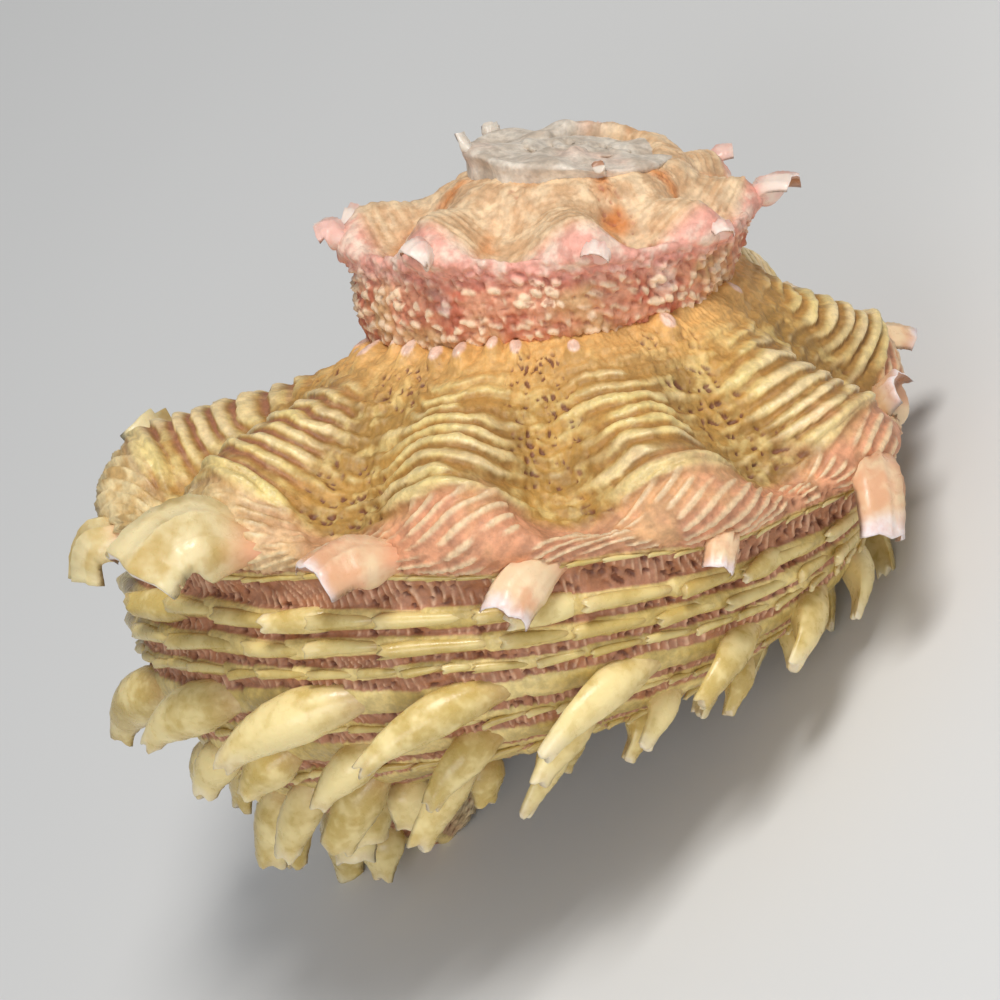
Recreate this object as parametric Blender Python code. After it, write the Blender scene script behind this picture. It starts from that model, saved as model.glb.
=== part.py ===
"""A dolphin snail shell: a right-handed turban shell with a flat apex, a deep stepped spire,
a knobbed ramp, and rows of tongue-shaped spines that lean the way the shell grew.

The shell is one piece. Its wall is a tube whose section grows as it winds down round the coiling
axis. The tube is open at the lip and hollow behind it. Everything is in metres. Stations along the
tube are counted in turns back from the lip, so station 0 is the lip and station 1 is one whorl older.
"""

import math

import bmesh
import bpy
import numpy as np
from mathutils import Matrix

# The coil
LIP_RADIUS = 0.0254  # coiling axis to shoulder, at the lip
GROWTH = 1.94  # how much wider each whorl is than the one before it
LIP_BEARING = math.radians(115)  # where the lip stands round the axis, from +X of the coil
OLDEST_STATION = 3.3  # the apex
FLAT_RADIUS = 0.0072  # younger whorls than this width drop; older ones lie flat
DROP = 1.29  # how far the shoulder falls for each metre that it widens
DROP_SOFTNESS = 0.0012

# The wall
WALL = 0.0013
HOLLOW_TURNS = 0.72  # how far back from the lip the tube is hollow
HOLLOW_END = ((0.01, 0.75), (0.024, 0.4))  # turns beyond the hollow, and share of its width there

# The section of the tube, as shares of the shoulder radius: distance from the axis, and height
# above the shoulder. Heights of None lie on the ramp, which is steeper on younger whorls.
SECTION = (
    ("suture", 0.44, None),
    ("inner_ramp", 0.64, None),
    ("outer_ramp", 0.87, None),
    ("shoulder", 1.00, 0.0),
    ("under_shoulder", 0.95, -0.12),
    ("flank", 0.93, -0.26),
    ("upper_row", 0.885, -0.39),
    ("middle_row", 0.76, -0.535),
    ("lower_row", 0.60, -0.625),
    ("umbilical_rim", 0.43, -0.645),
    ("umbilicus", 0.32, -0.58),
    ("columella", 0.27, -0.44),
    ("inner_wall", 0.265, -0.15),
    ("parietal", 0.30, 0.16),
    ("hidden", 0.355, 0.33),
)
PLACES = {name: place for place, (name, _, _) in enumerate(SECTION)}
RAMP_STEEPNESS = 58.0  # slope of the ramp for each metre of shoulder radius
RAMP_LEVEL_RADIUS = 0.0032
STEEPEST_RAMP = 0.72

# Growth lines lean: the suture side of each is ahead of the shoulder, and the base is behind it.
LEAN_AT_SUTURE = -0.05
LEAN_AT_BASE = 0.03

# Folds on the ramp. Heights are shares of the shoulder radius.
FOLD_STATIONS = (
    -0.04, 0.07, 0.18, 0.285, 0.395, 0.49, 0.60, 0.72, 0.84, 0.96, 1.07, 1.19, 1.31, 1.44,
    1.55, 1.66, 1.78, 1.92, 2.06, 2.20, 2.40, 2.60, 2.80, 3.00, 3.20, 3.40,
)  # fmt: skip
FOLD_HEIGHTS = (0.17, 0.22, 0.22, 0.10)  # the body whorl, the next whorl, and the flat apical disc
FOLD_CHANGE = (0.9, 1.15, 1.6, 1.9)  # stations where the folds have those heights
FOLD_SHARPNESS = 1.1
FOLD_VALLEY = 0.40  # how far the valleys lie under the plain ramp, as a share of the fold
FOLD_PLACE = 2.1
FOLD_WIDTH = 1.0
FLANK_CORDS = (4.45, 4.95, 5.45)  # places of the spiral cords round the section
CORD_HEIGHT = 0.016
CORD_WIDTH = 0.16

RING_POINTS = 75
RINGS_PER_TURN = 72
HOLLOW_RINGS_PER_TURN = 48

# Spines. Each row lies along one place round the section. Lengths and half-widths are shares of
# the shoulder radius where the spine starts. The middle and the tip are given as shares of the
# length: forward (the way the shell grew), outward, and down the section. A row whose spines
# differ also lists their lengths, widths and how far each droops, as shares of the row's own.
SHOULDER_SPINES = {
    "place": 2.9, "length": 0.14, "half_width": 0.076, "half_thickness": 0.070, "hollow": 0.35,
    "middle": (0.32, 0.52, 0.04), "tip": (0.66, 0.70, 0.44),
    "stations": (
        0.03, 0.11, 0.19, 0.27, 0.345, 0.425, 0.50, 0.58, 0.655, 0.73, 0.81, 0.90, 0.99,
        1.09, 1.19, 1.31, 1.44, 1.55, 1.66, 1.78, 1.92, 2.06, 2.20,
    ),
    "lengths": (
        1.0, 1.0, 0.5, 1.25, 1.1, 1.25, 0.9, 1.25, 0.6, 0.5, 0.5, 0.8, 0.8,
        0.8, 0.4, 0.6, 0.8, 0.7, 1.5, 0.8, 0.7, 0.6, 0.9,
    ),
    "widths": (
        1.0, 1.0, 0.85, 1.35, 0.9, 0.9, 0.8, 1.05, 0.9, 0.9, 0.85, 0.9, 0.9,
        1.0, 1.0, 1.4, 1.3, 1.0, 1.5, 1.0, 1.0, 1.0, 0.9,
    ),
    "droops": (
        1.0, 1.0, 2.8, 1.3, 1.6, 1.7, 1.6, 2.0, 1.5, 1.3, 1.2, 1.1, 1.0,
        0.9, 1.7, 1.5, 1.4, 1.2, 0.5, 0.6, 0.2, -0.3, -0.9,
    ),
}  # fmt: skip
UPPER_ROW = {
    "place": 6.0, "length": 0.27, "half_width": 0.058, "half_thickness": 0.054, "hollow": -0.1,
    "middle": (0.50, 0.30, 0.00), "tip": (0.84, 0.46, 0.28),
    "stations": (
        0.01, 0.06, 0.11, 0.165, 0.215, 0.25, 0.285, 0.345, 0.41, 0.455, 0.50, 0.55, 0.61,
        0.67, 0.73, 0.79, 0.86,
    ),
}  # fmt: skip
MIDDLE_ROW = {
    "place": 7.0, "length": 0.22, "half_width": 0.056, "half_thickness": 0.050, "hollow": 0.0,
    "middle": (0.44, 0.32, 0.04), "tip": (0.66, 0.62, 0.24),
    "stations": (
        0.02, 0.075, 0.13, 0.19, 0.25, 0.305, 0.365, 0.415, 0.465, 0.515, 0.57, 0.63, 0.69,
        0.75, 0.82,
    ),
    "lengths": (
        1.0, 0.95, 0.75, 0.65, 0.72, 0.85, 0.95, 0.9, 0.75, 0.7, 0.7, 0.8, 1.0,
        1.0, 1.0,
    ),
}  # fmt: skip
LOWER_ROW = {
    "place": 8.0, "length": 0.21, "half_width": 0.056, "half_thickness": 0.048, "hollow": 0.1,
    "middle": (0.38, 0.38, 0.06), "tip": (0.60, 0.66, 0.16),
    "stations": (0.03, 0.09, 0.15, 0.21, 0.27, 0.335, 0.40, 0.46, 0.52, 0.59, 0.66, 0.73, 0.80),
    "lengths": (1.0, 1.0, 1.0, 1.0, 1.0, 1.0, 0.9, 0.65, 0.6, 0.75, 1.0, 1.0, 1.0),
}  # fmt: skip
RIM_ROW = {
    "place": 8.9, "length": 0.12, "half_width": 0.050, "half_thickness": 0.044, "hollow": 0.0,
    "middle": (0.26, 0.44, 0.04), "tip": (0.38, 0.84, 0.10),
    "stations": (0.05, 0.12, 0.19, 0.26, 0.335, 0.41, 0.48, 0.56, 0.64),
}  # fmt: skip
FLANK_SPINES = {
    "place": 4.45, "length": 0.14, "half_width": 0.034, "half_thickness": 0.034, "hollow": -0.6,
    "middle": (0.55, 0.16, 0.00), "tip": (0.95, 0.34, 0.00),
    "stations": (0.06, 0.15, 0.23, 0.32, 0.42, 0.52, 0.61, 0.70),
}  # fmt: skip
SPINE_ROWS = (SHOULDER_SPINES, UPPER_ROW, MIDDLE_ROW, LOWER_ROW, RIM_ROW, FLANK_SPINES)
SPINE_RING_POINTS = 12
SPINE_RINGS = 8
ROOT_DEPTH = 0.05  # how far a root is sunk in the wall, as a share of the shoulder radius
ROOT_SET_BACK = 0.12  # how far a root starts behind its station, as a share of the length
ROOT_WIDTH = 0.75  # shares of the half-width
BELLY = 0.45
TIP_TAPER = 0.33
UNDERSIDE_TAPER = 0.7

# How the shell rests: on its lip and the spines of its base, with the coiling axis leaning over.
TURN = math.radians(-19.15)  # round the coiling axis
LEAN_BACK = math.radians(3.51)  # away from the photographed side
LEAN_RIGHT = math.radians(47.8)
APEX_PLACE = (0.01621, -0.00159, 0.02406)

VOXEL = 0.00034
MOST_TRIANGLES = 9600
BLOCK = 0.2  # the block that wears the resting tips flat
SMOOTH_UP_TO = math.radians(40)
SHELL_COLOUR = (0.80, 0.62, 0.40, 1.0)

def shoulder_radius(station):
    return LIP_RADIUS * GROWTH ** (-station)

def shoulder_height(station):
    excess = (shoulder_radius(station) - FLAT_RADIUS) / DROP_SOFTNESS
    return -DROP * DROP_SOFTNESS * np.logaddexp(0.0, excess)

def ramp_slope(station):
    slope = RAMP_STEEPNESS * (shoulder_radius(station) - RAMP_LEVEL_RADIUS)
    return np.clip(slope, 0.0, STEEPEST_RAMP)

def closed_curve(values, place):
    """A smooth closed curve through values, read at place, which counts along its points."""
    count = len(values)
    index = np.floor(place).astype(int)
    u = place - index
    before, here, after, beyond = (values[(index + k) % count] for k in (-1, 0, 1, 2))
    return 0.5 * (
        2 * here
        + (after - before) * u
        + (2 * before - 5 * here + 4 * after - beyond) * u**2
        + (3 * here - before - 3 * after + beyond) * u**3
    )

def section_at(station, place):
    """Distance from the axis and height of points of the plain section, in metres."""
    out = np.array([share for _, share, _ in SECTION])
    up = np.array([0.0 if height is None else height for _, _, height in SECTION])
    on_ramp = np.array([height is None for _, _, height in SECTION])
    radius = shoulder_radius(station)
    slope = ramp_slope(station)
    ramp_rise = closed_curve(np.where(on_ramp, 1 - out, 0.0), place)
    hidden = closed_curve(np.where(up > 0, up, 0.0), place)
    rest = closed_curve(np.where(up > 0, 0.0, up), place)
    rise = ramp_rise * slope + hidden * slope / STEEPEST_RAMP + rest
    return closed_curve(out, place) * radius, shoulder_height(station) + rise * radius

def lean(place):
    """How far a point of a growth line is from the line's station, in turns."""
    base = PLACES["lower_row"]
    knots = (PLACES["suture"], PLACES["shoulder"], base, base + 2, len(SECTION))
    return np.interp(place, knots, (LEAN_AT_SUTURE, 0, LEAN_AT_BASE, LEAN_AT_BASE, LEAN_AT_SUTURE))

def hump(x, centre, width):
    return np.exp(-(((x - centre) / width) ** 2))

def relief(station, place):
    """How far the surface stands out from the plain section, as a share of the shoulder radius."""
    phase = np.interp(station, FOLD_STATIONS, np.arange(len(FOLD_STATIONS)))
    crest = (0.5 + 0.5 * np.cos(2 * math.pi * phase)) ** FOLD_SHARPNESS
    height = np.interp(station, FOLD_CHANGE, FOLD_HEIGHTS)
    fold = height * (crest - FOLD_VALLEY) * hump(place, FOLD_PLACE, FOLD_WIDTH)
    cords = sum(hump(place, cord, CORD_WIDTH) for cord in FLANK_CORDS) * CORD_HEIGHT
    return fold + cords

def surface(station, place):
    """Points of the shell's outside at a growth line's station and places round the section."""
    place = np.asarray(place, float)
    at = station + lean(place)
    radius, height = section_at(at, place)
    ahead, behind = (section_at(at, place + step) for step in (0.02, -0.02))
    along = np.array([ahead[0] - behind[0], ahead[1] - behind[1]])
    along /= np.maximum(np.hypot(*along), 1e-12)
    out = relief(station, place) * shoulder_radius(at)
    radius, height = radius - along[1] * out, height + along[0] * out
    bearing = LIP_BEARING + 2 * math.pi * at
    return np.stack([radius * np.cos(bearing), radius * np.sin(bearing), height], axis=-1)

def surface_frame(station, place):
    """A point of the surface, with the forward, outward and down-the-section directions there."""
    here = surface(station, place)
    forward = surface(station - 0.01, place) - surface(station + 0.01, place)
    down = surface(station, place + 0.05) - surface(station, place - 0.05)
    forward /= np.linalg.norm(forward)
    down -= forward * (down @ forward)
    down /= np.linalg.norm(down)
    return here, forward, np.cross(forward, down), down

def spine_rings(row, number):
    """Rings of points round a curved tapering spine, from its sunk root to its blunt tip."""
    station = row["stations"][number]
    here, forward, outward, down = surface_frame(station, row["place"])
    size = float(shoulder_radius(station))
    alike = (1.0,) * len(row["stations"])
    length = row["length"] * size * row.get("lengths", alike)[number]
    wide = row.get("widths", alike)[number]
    droop = row.get("droops", alike)[number]

    def reach(shares):
        droops = shares[2] * droop * down
        return here + length * (shares[0] * forward + shares[1] * outward + droops)

    root = here - outward * ROOT_DEPTH * size - forward * ROOT_SET_BACK * length
    middle, tip = reach(row["middle"]), reach(row["tip"])
    angles = np.linspace(0, 2 * math.pi, SPINE_RING_POINTS, endpoint=False)
    rings = []
    for u in np.linspace(0, 1, SPINE_RINGS):
        centre = (1 - u) ** 2 * root + 2 * u * (1 - u) * middle + u**2 * tip
        along = (1 - u) * (middle - root) + u * (tip - middle)
        along /= np.linalg.norm(along)
        across = down - along * (down @ along)
        across /= np.linalg.norm(across)
        back = np.cross(along, across)
        back *= math.copysign(1.0, back @ (outward - 0.5 * forward))
        swell = ROOT_WIDTH + BELLY * math.sin(math.pi * u) - TIP_TAPER * u**2
        half_width = row["half_width"] * size * wide * swell
        half_thickness = row["half_thickness"] * size * swell
        underside = (row["hollow"] + 1) * u**UNDERSIDE_TAPER - 1
        lift = np.where(np.sin(angles) >= 0, np.sin(angles), -underside * np.sin(angles))
        rings.append(
            centre
            + np.outer(np.cos(angles) * half_width, across)
            + np.outer(lift * half_thickness, back)
        )
    return rings

def inner_ring(station, places, share):
    """One ring of the hollow's wall, drawn in towards the middle of the section by share."""
    ring = surface(station, places)
    centre = ring.mean(axis=0)
    out = ring - centre
    reach = np.linalg.norm(out, axis=1, keepdims=True)
    return centre + out * (1 - WALL / reach) * share

def tube_rings():
    """Rings of points: the outside from the apex to the lip, then the inside back to its end."""
    places = np.linspace(0, len(SECTION), RING_POINTS, endpoint=False)
    stations = np.arange(OLDEST_STATION, 0, -1 / RINGS_PER_TURN)
    rings = [surface(station, places) for station in (*stations, 0.0)]
    for station in np.arange(0, HOLLOW_TURNS, 1 / HOLLOW_RINGS_PER_TURN):
        rings.append(inner_ring(station, places, 1.0))
    for beyond, share in HOLLOW_END:
        rings.append(inner_ring(HOLLOW_TURNS + beyond, places, share))
    return rings

def loft(mesh, rings):
    """A body through rings of points: one face, extruded from each ring to the next."""
    face = mesh.faces.new([mesh.verts.new(point) for point in rings[0]])
    for ring in rings[1:]:
        face = bmesh.ops.extrude_discrete_faces(mesh, faces=[face])["faces"][0]
        for vertex, point in zip(face.verts, ring):
            vertex.co = point

def stance():
    """Carries the coil's own frame, whose origin is the apex, to where the shell rests."""
    turn = Matrix.Rotation(TURN, 4, "Z")
    tilt = Matrix.Rotation(LEAN_RIGHT, 4, "Y") @ Matrix.Rotation(-LEAN_BACK, 4, "X")
    return Matrix.Translation(APEX_PLACE) @ tilt @ turn

def link(name, mesh):
    """A new object in the scene with what the bmesh holds, closed and facing outward."""
    bmesh.ops.holes_fill(mesh, edges=mesh.edges)
    bmesh.ops.recalc_face_normals(mesh, faces=mesh.faces)
    data = bpy.data.meshes.new(name)
    mesh.to_mesh(data)
    mesh.free()
    made = bpy.data.objects.new(name, data)
    bpy.context.scene.collection.objects.link(made)
    return made

def settle(piece):
    """Makes what the modifiers show the object's own mesh."""
    graph = bpy.context.evaluated_depsgraph_get()
    shown = bpy.data.meshes.new_from_object(piece.evaluated_get(graph))
    piece.modifiers.clear()
    piece.data = shown

def keep_outer_surface(piece):
    """Deletes closed pockets inside the wall: every surface but the one with the lowest point."""
    mesh = bmesh.new()
    mesh.from_mesh(piece.data)
    outer = set()
    waiting = [min(mesh.verts, key=lambda vertex: vertex.co.z)]
    while waiting:
        vertex = waiting.pop()
        if vertex not in outer:
            outer.add(vertex)
            waiting += [edge.other_vert(vertex) for edge in vertex.link_edges]
    inner = [vertex for vertex in mesh.verts if vertex not in outer]
    bmesh.ops.delete(mesh, geom=inner, context="VERTS")
    mesh.to_mesh(piece.data)
    mesh.free()

def floor_cutter():
    """A block under the resting plane, which wears the lowest tips flat."""
    mesh = bmesh.new()
    bmesh.ops.create_cube(mesh, size=BLOCK)
    bmesh.ops.translate(mesh, verts=mesh.verts, vec=(0, 0, -BLOCK / 2))
    block = link("resting_plane", mesh)
    block.hide_render = True
    block.display_type = "WIRE"
    return block

def shell_finish():
    material = bpy.data.materials.new("shell")
    material.use_nodes = True
    shader = material.node_tree.nodes["Principled BSDF"]
    shader.inputs["Base Color"].default_value = SHELL_COLOUR
    shader.inputs["Roughness"].default_value = 0.45
    shader.inputs["Metallic"].default_value = 0.0
    return material

def main():
    for old in list(bpy.data.objects):
        bpy.data.objects.remove(old)
    mesh = bmesh.new()
    loft(mesh, tube_rings())
    for row in SPINE_ROWS:
        for number in range(len(row["stations"])):
            loft(mesh, spine_rings(row, number))
    shell = link("shell", mesh)
    shell.data.transform(stance())

    fuse = shell.modifiers.new("fuse", "REMESH")
    fuse.mode = "VOXEL"
    fuse.voxel_size = VOXEL
    settle(shell)
    keep_outer_surface(shell)

    facet = shell.modifiers.new("facet", "DECIMATE")
    facet.ratio = MOST_TRIANGLES / (2 * len(shell.data.polygons))
    wear = shell.modifiers.new("wear", "BOOLEAN")
    wear.operation = "DIFFERENCE"
    wear.object = floor_cutter()
    shell.data.materials.append(shell_finish())
    settle(shell)
    shell.data.shade_smooth()
    shell.data.set_sharp_from_angle(angle=SMOOTH_UP_TO)

if __name__ == "__main__":
    main()
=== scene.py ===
import math

import bmesh
import bpy
import numpy as np
from mathutils import Matrix, Vector


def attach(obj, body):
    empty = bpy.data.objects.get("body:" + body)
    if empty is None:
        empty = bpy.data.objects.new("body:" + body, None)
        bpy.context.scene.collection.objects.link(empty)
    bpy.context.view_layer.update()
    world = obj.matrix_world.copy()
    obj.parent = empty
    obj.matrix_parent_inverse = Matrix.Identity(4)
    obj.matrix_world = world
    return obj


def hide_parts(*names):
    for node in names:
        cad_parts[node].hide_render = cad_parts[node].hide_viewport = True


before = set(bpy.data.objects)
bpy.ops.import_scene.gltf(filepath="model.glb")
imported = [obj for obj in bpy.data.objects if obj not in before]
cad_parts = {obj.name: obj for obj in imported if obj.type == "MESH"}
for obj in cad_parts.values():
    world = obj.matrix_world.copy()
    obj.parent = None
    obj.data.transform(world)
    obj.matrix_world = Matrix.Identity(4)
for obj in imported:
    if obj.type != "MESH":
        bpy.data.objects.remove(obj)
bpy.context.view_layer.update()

bl_info = {
    "name": "Dolphin snail shell",
    "version": (1, 0, 0),
    "blender": (4, 5, 0),
    "location": "View3D > Sidebar > Shell",
    "description": "Models a spiny turban shell whorl by whorl, with its spines and pearly lining",
    "category": "Add Mesh",
}

NODE = "shell"
BODY = "root"
TURN = 2 * math.pi
REFERENCE_RADIUS = 0.02  # heights of relief are given for a whorl of this shoulder radius

# The plain section of the tube: distance from the axis and height above the shoulder, as shares
# of the shoulder radius. Heights of None lie on the ramp. A place is a point's number here.
SECTION = (
    ("suture", 0.44, None),
    ("inner_ramp", 0.64, None),
    ("outer_ramp", 0.87, None),
    ("shoulder", 1.00, 0.0),
    ("under_shoulder", 0.95, -0.12),
    ("flank", 0.93, -0.26),
    ("upper_row", 0.885, -0.39),
    ("middle_row", 0.76, -0.535),
    ("lower_row", 0.60, -0.625),
    ("umbilical_rim", 0.43, -0.645),
    ("umbilicus", 0.32, -0.58),
    ("columella", 0.27, -0.44),
    ("inner_wall", 0.265, -0.15),
    ("parietal", 0.30, 0.16),
    ("hidden", 0.355, 0.33),
)
PLACES = {name: place for place, (name, _, _) in enumerate(SECTION)}
AROUND = len(SECTION)
SEAM_PLACE = -2.0  # in the hidden wall
APEX_STATION = 6.0  # where the oldest whorl closes
SPINE_RINGS, SPINE_ROUND = 22, 22  # along a spine, and round it
SCALE_RINGS, SCALE_ROUND = 12, 12
BASE_DETAIL = 0.55  # how fine the base is, where spines cover it, as a share of the rest
CHIPPED = 0.08  # how uneven the spines' tips are, as a share of their length
RAMP_STEEPNESS = 58.0  # slope for each metre of shoulder radius, up to the steepest
RAMP_LEVEL_RADIUS = 0.0032  # narrower whorls have a level ramp
STEEPEST_RAMP = 0.72
LEAN_AT_SUTURE = -0.05  # turns that a growth line is off its station
LEAN_AT_BASE = 0.03

# Heights in metres of the relief that has no setting of its own
EDGE_HEIGHT = 0.00042
STRIPE_HEIGHT = 0.00030
SUTURE_LIP_HEIGHT = 0.00080
LUMP_HEIGHT = 0.00030
KNOB_HEIGHT = 0.00050
CRINKLE_HEIGHT = 0.00060

FOLD_STATIONS = (
    -0.04, 0.07, 0.18, 0.285, 0.395, 0.49, 0.60, 0.72, 0.84, 0.96, 1.07, 1.19, 1.31, 1.44,
    1.55, 1.66, 1.78, 1.92, 2.06, 2.20, 2.40, 2.60, 2.80, 3.00, 3.20, 3.40,
)  # fmt: skip
FOLD_SHARPNESS = 1.1
FOLD_VALLEY = 0.40
FOLD_PLACE = 2.1
FOLD_WIDTH = 1.0
FOLD_CHANGE = (0.9, 1.15, 1.6, 1.9)
RAMP_EDGE = 2.30  # place where the ramp's cords end, over the pink band

# Stretches of the wall: oldest and youngest station, rows, and columns outside and inside
WHORLS = {
    "body_whorl_front": (0.345, 0.0, 328, 266, 30),
    "body_whorl_side": (0.69, 0.345, 328, 266, 30),
    "body_whorl_back": (1.06, 0.69, 290, 250, 30),
    "penultimate_whorl": (2.06, 1.06, 440, 180, 24),
    "apical_disc": (APEX_STATION, 2.06, 330, 90, 16),
}

# The rounded lip and the closed end of the lining: stations, and depths in wall thicknesses
LIP_RINGS = ((0.0, 0.0), (-0.0020, 0.12), (-0.0026, 0.45), (-0.0020, 0.8), (0.0, 1.0))
DEEPEST_RINGS = ((0.51, 3.5), (0.515, 7.0))
LINING_STATIONS = (0.008, 0.5, 80)  # first, last and how many

# The camera's aim, from the apex, and its shift right and up, in metres
AIM = (0, 0, -0.016)
AIM_RIGHT = 0.0035
AIM_UP = 0.00195
FLOOR_HALF_WIDTH = 1.5
# Lights: where they stand, as shares of the camera's right, up and look; distance, size, tint
LIGHTS = {
    "key_light": (-0.20, 0.66, -0.70, 0.45, 0.16, (1.0, 0.98, 0.95)),
    "fill_light": (-0.25, -0.32, -0.90, 0.5, 0.3, (0.95, 0.97, 1.0)),
    "rim_light": (0.7, 0.45, 0.35, 0.5, 0.2, (1.0, 1.0, 1.0)),
}
RIM_POWER = 0.5  # as a share of the fill light's
SKY_COLOUR = (0.92, 0.95, 1.0, 1.0)
SKY_STRENGTH = 0.30

# Spiral cords of the flank: place, half-width in places, height and segment length in metres
FLANK_CORDS = (
    (4.42, 0.20, 0.00050, 0.0062),
    (4.95, 0.19, 0.00048, 0.0054),
    (5.42, 0.13, 0.00030, 0.0030),
)
# Low cords that the rows of spines stand on
ROW_CORDS = (
    (3.62, 0.09, 0.00012, 0.0024),
    (6.0, 0.24, 0.00036, 0.0060),
    (6.5, 0.10, 0.00016, 0.0026),
    (7.0, 0.22, 0.00032, 0.0058),
    (7.5, 0.10, 0.00016, 0.0026),
    (8.0, 0.22, 0.00030, 0.0056),
    (8.9, 0.24, 0.00026, 0.0050),
    (9.6, 0.20, 0.00018, 0.0030),
)
# Overlapping scales on the cords: place, half-width and length in metres, and how round they are
CORD_SCALES = (
    (4.42, 0.00044, 0.0064, 1.00),
    (4.95, 0.00042, 0.0058, 1.00),
    (5.42, 0.00026, 0.0029, 0.90),
    (3.62, 0.00015, 0.0022, 0.80),
    (6.52, 0.00022, 0.0027, 0.85),
    (7.52, 0.00022, 0.0026, 0.85),
)
OLDEST_SCALE = 1.04  # station

# Spines. Widths and lengths are shares of the shoulder radius. The middle, the tip and the back
# are directions: forward (the way the shell grew), outward, and down the section. The middle and
# the tip are shares of the length. Behind is how far back the root starts, in lengths.
UPPER_ROW = {
    "place": 6.0, "length": 0.27, "half_width": 0.049, "half_thickness": 0.050, "hollow": 0.0,
    "behind": 0.95, "middle": (0.50, 0.30, 0.00), "tip": (0.84, 0.46, 0.28),
    "back": (-0.5, 1.0, -0.3),
    "stations": (
        0.01, 0.06, 0.11, 0.165, 0.24, 0.305, 0.37, 0.44, 0.50, 0.55, 0.61, 0.67, 0.73, 0.79,
        0.86, 0.93, 1.0,
    ),
    "lengths": (
        1.0, 1.0, 1.0, 0.95, 0.95, 1.05, 1.15, 1.10, 0.85, 0.80, 0.80, 1.0, 1.0, 1.0, 1.0, 1.0,
        1.0,
    ),
}  # fmt: skip
MIDDLE_ROW = {
    "place": 7.0, "length": 0.22, "half_width": 0.042, "half_thickness": 0.044, "hollow": 0.1,
    "behind": 0.8, "middle": (0.44, 0.32, 0.04), "tip": (0.66, 0.62, 0.24),
    "back": (-0.6, 0.9, -0.3),
    "stations": (
        0.02, 0.075, 0.13, 0.19, 0.25, 0.305, 0.365, 0.415, 0.465, 0.515, 0.57, 0.63, 0.69,
        0.75, 0.82, 0.90, 0.98,
    ),
    "lengths": (
        1.0, 0.95, 0.75, 0.65, 0.72, 0.85, 0.95, 0.9, 0.75, 0.7, 0.7, 0.8, 1.0, 1.0, 1.0, 1.0,
        1.0,
    ),
}  # fmt: skip
LOWER_ROW = {
    "place": 8.0, "length": 0.21, "half_width": 0.044, "half_thickness": 0.043, "hollow": 0.1,
    "behind": 0.7, "middle": (0.38, 0.38, 0.06), "tip": (0.60, 0.66, 0.16),
    "back": (-0.7, 0.8, -0.2),
    "stations": (0.03, 0.09, 0.15, 0.21, 0.27, 0.335, 0.40, 0.46, 0.52, 0.59, 0.66, 0.73, 0.80),
    "lengths": (1.0, 1.0, 1.0, 1.0, 1.05, 1.2, 1.1, 0.65, 0.6, 0.75, 1.0, 1.0, 1.0),
}  # fmt: skip
RIM_ROW = {
    "place": 8.9, "length": 0.12, "half_width": 0.050, "half_thickness": 0.042, "hollow": 0.1,
    "behind": 0.5, "middle": (0.26, 0.44, 0.04), "tip": (0.38, 0.84, 0.10),
    "back": (-0.8, 0.5, -0.2),
    "stations": (0.05, 0.12, 0.19, 0.26, 0.335, 0.41, 0.48, 0.56, 0.64),
}  # fmt: skip
FLANK_SPINES = {
    "place": 4.45, "length": 0.14, "half_width": 0.030, "half_thickness": 0.026, "hollow": -0.5,
    "behind": 1.4, "middle": (0.55, 0.16, 0.00), "tip": (0.95, 0.34, 0.00),
    "back": (-0.2, 1.0, 0.0),
    "stations": (0.06, 0.15, 0.23, 0.32, 0.42, 0.52, 0.61, 0.70),
}  # fmt: skip
SPINE_ROWS = {
    "upper_row_spines": UPPER_ROW,
    "middle_row_spines": MIDDLE_ROW,
    "lower_row_spines": LOWER_ROW,
    "umbilical_knobs": RIM_ROW,
    "flank_spines": FLANK_SPINES,
}
SHOULDER_SPINES = {
    "length": 0.145, "half_width": 0.070, "half_thickness": 0.066, "hollow": 0.72,
    "behind": 1.2, "middle": (0.20, 0.52, 0.04), "tip": (0.42, 0.92, 0.36),
    "back": (-0.25, 0.15, -0.95), "pointed": 0.1, "ribs": 0.18,
}  # fmt: skip
# One for each shoulder spine: station, place, and its length, width and droop as shares
SHOULDER_TONGUES = (
    (0.03, 2.9, 1.00, 1.00, 1.0), (0.11, 2.9, 0.95, 1.00, 1.0), (0.19, 3.3, 0.60, 0.75, 2.0),
    (0.285, 3.0, 1.00, 1.50, 1.9), (0.345, 3.35, 0.95, 0.90, 0.4), (0.408, 3.65, 0.95, 0.80, 0.2),
    (0.49, 3.45, 0.66, 0.55, 0.2), (0.58, 3.15, 1.10, 0.95, 1.9), (0.655, 2.9, 0.60, 0.90, 1.5),
    (0.73, 2.9, 0.50, 0.85, 1.3), (0.81, 2.9, 0.50, 0.85, 1.2), (0.90, 2.9, 0.80, 0.90, 1.1),
    (0.99, 2.9, 0.80, 0.90, 1.0), (1.09, 2.9, 0.75, 0.90, 0.9), (1.19, 2.9, 0.40, 0.90, 1.7),
    (1.31, 3.0, 0.32, 1.10, 1.8), (1.44, 3.0, 0.34, 0.90, 1.9), (1.55, 3.0, 0.34, 0.80, 1.6),
    (1.66, 2.9, 1.40, 1.40, 0.5), (1.78, 2.9, 0.65, 1.00, 0.6), (1.92, 2.9, 0.55, 0.90, 0.2),
    (2.06, 2.9, 0.50, 0.90, -0.3), (2.20, 2.9, 0.85, 0.70, -0.9), (2.45, 2.9, 0.45, 0.80, -0.4),
)  # fmt: skip


def length_setting(name, description, default, precision=4):
    return bpy.props.FloatProperty(
        name=name, description=description, default=default, unit="LENGTH", precision=precision,
    )


def share_setting(name, description, default):
    return bpy.props.FloatProperty(name=name, description=description, default=default)


def angle_setting(name, description, degrees):
    return bpy.props.FloatProperty(
        name=name, description=description, default=math.radians(degrees), subtype="ANGLE",
        unit="ROTATION",
    )


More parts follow.
